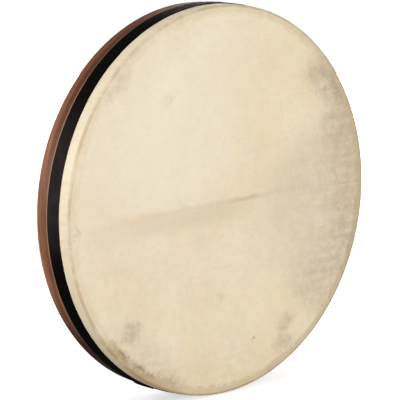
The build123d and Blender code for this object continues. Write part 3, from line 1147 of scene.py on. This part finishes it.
    def dress(self, bolts: List[bpy.types.Object]) -> None:
        """Finishes the bolts."""
        black = Plating(Slot.BOLT.value, colour(52, 52, 56), colour(30, 29, 31), 0.85, 0.38).make()
        for bolt in bolts:
            wear(bolt, black)
        report(bolts[0])


@dataclass
class Hardware:
    """The pieces that keep their CAD shape: the crossbar, its cleats, the brackets, nuts, cups and screws."""

    wooden: Tuple[str, ...] = ("crossbar", "cleat_top", "cleat_bottom")

    def build(self) -> List[bpy.types.Object]:
        """Finds every CAD piece that is still shown."""
        return [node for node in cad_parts.values() if not node.hide_render]

    def dress(self, pieces: List[bpy.types.Object]) -> None:
        """Finishes them."""
        light, dark, pore = colour(128, 78, 50), colour(80, 43, 25), colour(40, 21, 13)
        along = Wood(Slot.BAR.value, light, dark, pore, Grain.ALONG_THE_BAR, roughness=0.38, gloss=0.4).make()
        across = Wood("stained_cleats", light, dark, pore, Grain.ACROSS, roughness=0.42).make()
        zinc = Plating(Slot.ZINC.value, colour(206, 206, 202), colour(164, 166, 166), 1.0, 0.34).make()
        for piece in pieces:
            if piece.name in self.wooden:
                chosen = along if piece.name == "crossbar" else across
            else:
                chosen = zinc
            for place in piece.material_slots:
                place.material = chosen
            LOG.info("%s keeps its shape and wears %s", piece.name, chosen.name)


@dataclass(frozen=True)
class Panel:
    """One soft square light: its name, place in metres, side in metres, watts, and if only gloss shows it."""

    name: str
    place: Tuple[float, float, float]
    width: float
    power: float
    gloss_only: bool


@dataclass
class Studio:
    """The pale floor, the lights and the camera."""

    floor_size: float = 60.0
    aim: Tuple[float, float, float] = (0.0, -0.0093, 0.0)
    distance: float = 2.812
    azimuth: float = -41.73
    elevation: float = 9.75
    pan: float = -0.288
    tilt: float = -0.009
    lens: float = 216.7
    sensor: float = 36.0
    clip_end: float = 200.0
    floor_glow: float = 0.54
    floor_tones: Tuple[Colour, Colour] = ((0.91, 0.91, 0.91, 1), (0.93, 0.93, 0.93, 1))
    sky_light: float = 0.45
    ground_light: float = 0.20
    horizon: Tuple[float, float] = (-0.12, 0.02)
    key_from: Tuple[float, float, float] = (-0.68, -0.73, 0.06)
    key_power: float = 4.1
    key_spread: float = 30.0
    panel_tint: Tuple[float, float, float] = (1.0, 0.9, 0.8)
    panels: Tuple[Panel, ...] = (
        Panel("gloss_panel", (-1.95, 2.05, 0.45), 0.95, 90, True),
        Panel("back_fill", (2.0, 2.4, 0.3), 1.4, 48, False),
    )

    def camera(self) -> bpy.types.Object:
        """Makes the camera and makes it the scene's own."""
        turn, lift = math.radians(self.azimuth), math.radians(self.elevation)
        back = Vector((math.sin(turn) * math.cos(lift), -math.cos(turn) * math.cos(lift), math.sin(lift)))
        right = (-back).cross(Vector((0, 0, 1))).normalized()
        up = right.cross(-back)
        sideways, upward = math.tan(math.radians(self.pan)), math.tan(math.radians(self.tilt))
        look = -back + right * sideways + up * upward
        bpy.ops.object.camera_add(location=Vector(self.aim) + back * self.distance)
        camera = bpy.context.object
        camera.name = "studio_camera"
        camera.rotation_mode = "QUATERNION"
        camera.rotation_quaternion = look.to_track_quat("-Z", "Y")
        camera.data.sensor_width = self.sensor
        camera.data.lens = self.lens
        camera.data.clip_end = self.clip_end
        bpy.context.scene.camera = camera
        return camera

    def hang(self, panel: Panel) -> None:
        """Hangs one panel that points at the drum."""
        bpy.ops.object.light_add(type="AREA", location=panel.place)
        lamp = bpy.context.object
        lamp.name = panel.name
        lamp.rotation_mode = "QUATERNION"
        lamp.rotation_quaternion = (-Vector(panel.place)).to_track_quat("-Z", "Y")
        lamp.data.shape = "SQUARE"
        lamp.data.size = panel.width
        lamp.data.energy = panel.power
        lamp.data.color = self.panel_tint
        lamp.visible_diffuse = not panel.gloss_only

    def sky(self) -> None:
        """Surrounds the drum with white that dims below the horizon."""
        world = bpy.data.worlds.new("studio_white")
        bpy.context.scene.world = world
        world.use_nodes = True
        nodes, links = world.node_tree.nodes, world.node_tree.links
        place, parts = nodes.new("ShaderNodeTexCoord"), nodes.new("ShaderNodeSeparateXYZ")
        rise = nodes.new("ShaderNodeMapRange")
        rise.interpolation_type = "SMOOTHSTEP"
        numbers = (*self.horizon, self.ground_light, self.sky_light)
        for name, number in zip(("From Min", "From Max", "To Min", "To Max"), numbers):
            rise.inputs[name].default_value = number
        links.new(place.outputs["Generated"], parts.inputs[0])
        links.new(parts.outputs["Z"], rise.inputs["Value"])
        links.new(rise.outputs["Result"], nodes["Background"].inputs["Strength"])
        nodes["Background"].inputs["Color"].default_value = (1, 1, 1, 1)

    def sun(self) -> None:
        """Adds the broad key light from the upper left."""
        bpy.ops.object.light_add(type="SUN")
        lamp = bpy.context.object
        lamp.name = "key_light"
        lamp.rotation_mode = "QUATERNION"
        lamp.rotation_quaternion = (-Vector(self.key_from)).to_track_quat("-Z", "Y")
        lamp.data.energy = self.key_power
        lamp.data.angle = math.radians(self.key_spread)

    def floor(self) -> None:
        """Lays the floor, which glows a little and doesn't tint the drum."""
        bpy.ops.object.select_all(action="DESELECT")
        bpy.ops.mesh.primitive_plane_add(size=self.floor_size, location=(0, 0, CAD_BOX[0].z))
        floor = bpy.context.object
        floor.name = "studio_floor"
        bpy.ops.object.transform_apply(location=True, rotation=True, scale=True)
        s = Shader("studio_floor")
        tone = s.mix(s.noise(s.place(), 30, 2, 0.5), *self.floor_tones)
        glow = {"emission_color": (1.0, 1.0, 1.0, 1.0), "emission_strength": self.floor_glow}
        floor.data.materials.append(s.finish(base_color=tone, roughness=0.9, specular_ior_level=0.1, **glow))
        floor.visible_diffuse = False
        floor.visible_glossy = False

    def build(self) -> None:
        """Lays the floor, hangs the lights and places the camera."""
        self.floor()
        self.sky()
        self.sun()
        for panel in self.panels:
            self.hang(panel)
        self.camera()
        bpy.context.scene.view_settings.view_transform = "Standard"


def main() -> None:
    """Builds, dresses and reports the drum, piece by piece."""
    logging.basicConfig(level=logging.INFO, format="%(name)s %(message)s")
    Studio().build()
    for assembly in (Head(), Hoop(), Tape(), TuningRing(), Bolts(), Hardware()):
        assembly.dress(assembly.build())


if __name__ == "__main__":
    main()
